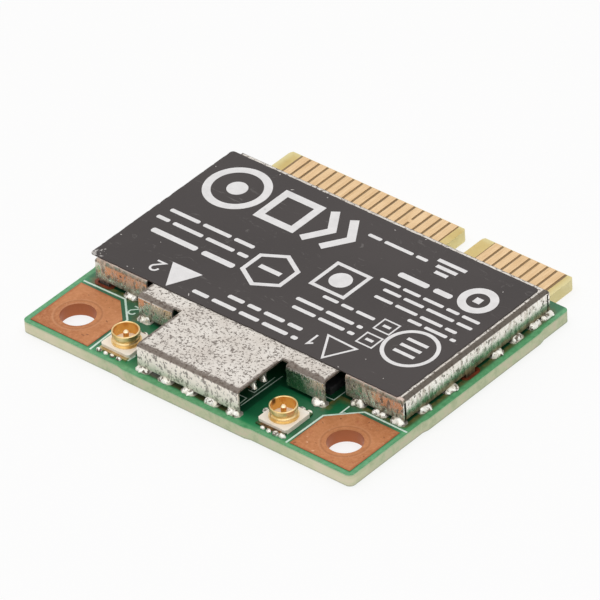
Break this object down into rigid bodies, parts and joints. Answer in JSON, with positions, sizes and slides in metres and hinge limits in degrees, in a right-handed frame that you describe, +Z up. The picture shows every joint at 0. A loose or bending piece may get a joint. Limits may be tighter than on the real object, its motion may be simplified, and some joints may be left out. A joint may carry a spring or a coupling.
{
  "type": "laptop wifi card",
  "caption": "Half-size plug-in radio card for a laptop: keyed contact tongue, screw lands, folded screening can with label, and round antenna sockets.",
  "frame": {"origin": "under the middle of the card, on the plane it rests on", "axes": "+X along the wide edge, +Y towards the contact tongue, +Z up out of the label"},
  "size_m": [0.03, 0.0268, 0.0031],
  "materials": {
    "circuit_board": "green mask over pale glass epoxy",
    "bare_copper": "matt, slightly tarnished",
    "gold_plating": "satin gold",
    "tinned_copper": "tinned",
    "tinned_sheet": "tinned, speckled",
    "solder": "bright",
    "label_film": "matt print film",
    "socket_plastic": "matt",
    "chip_moulding": "matt moulding",
    "chip_ceramic": "matt",
    "capacitor_ceramic": "satin",
    "resistor_ceramic": "satin",
    "ferrite": "matt"
  },
  "bodies": {
    "root": {"board": "circuit_board", "screw_land_left": "bare_copper", "screw_land_right": "bare_copper", "contacts_top_long": "gold_plating", "contacts_top_short": "gold_plating", "contacts_bottom_long": "gold_plating", "contacts_bottom_short": "gold_plating", "can_foot_lands": "tinned_copper", "screening_can": "tinned_sheet", "can_solder": "solder", "label": "label_film", "board_slot_right": "bare_copper", "board_slot_front": "bare_copper", "radio_chip": "chip_moulding", "memory_chip": "chip_moulding", "regulator_chip": "chip_moulding", "front_end_chip": "chip_moulding", "antenna_switch": "chip_moulding", "radio_chip_leads": "solder", "memory_chip_leads": "solder", "passive_end_caps": "solder", "crystal_body": "chip_ceramic", "crystal_lid": "tinned_sheet", "band_filter": "chip_ceramic", "chip_capacitors": "capacitor_ceramic", "chip_resistors": "resistor_ceramic", "power_inductor": "ferrite", "socket_left_base": "socket_plastic", "socket_left_shell": "gold_plating", "socket_left_pin": "gold_plating", "socket_left_solder": "solder", "socket_right_base": "socket_plastic", "socket_right_shell": "gold_plating", "socket_right_pin": "gold_plating", "socket_right_solder": "solder"}
  },
  "joints": []
}
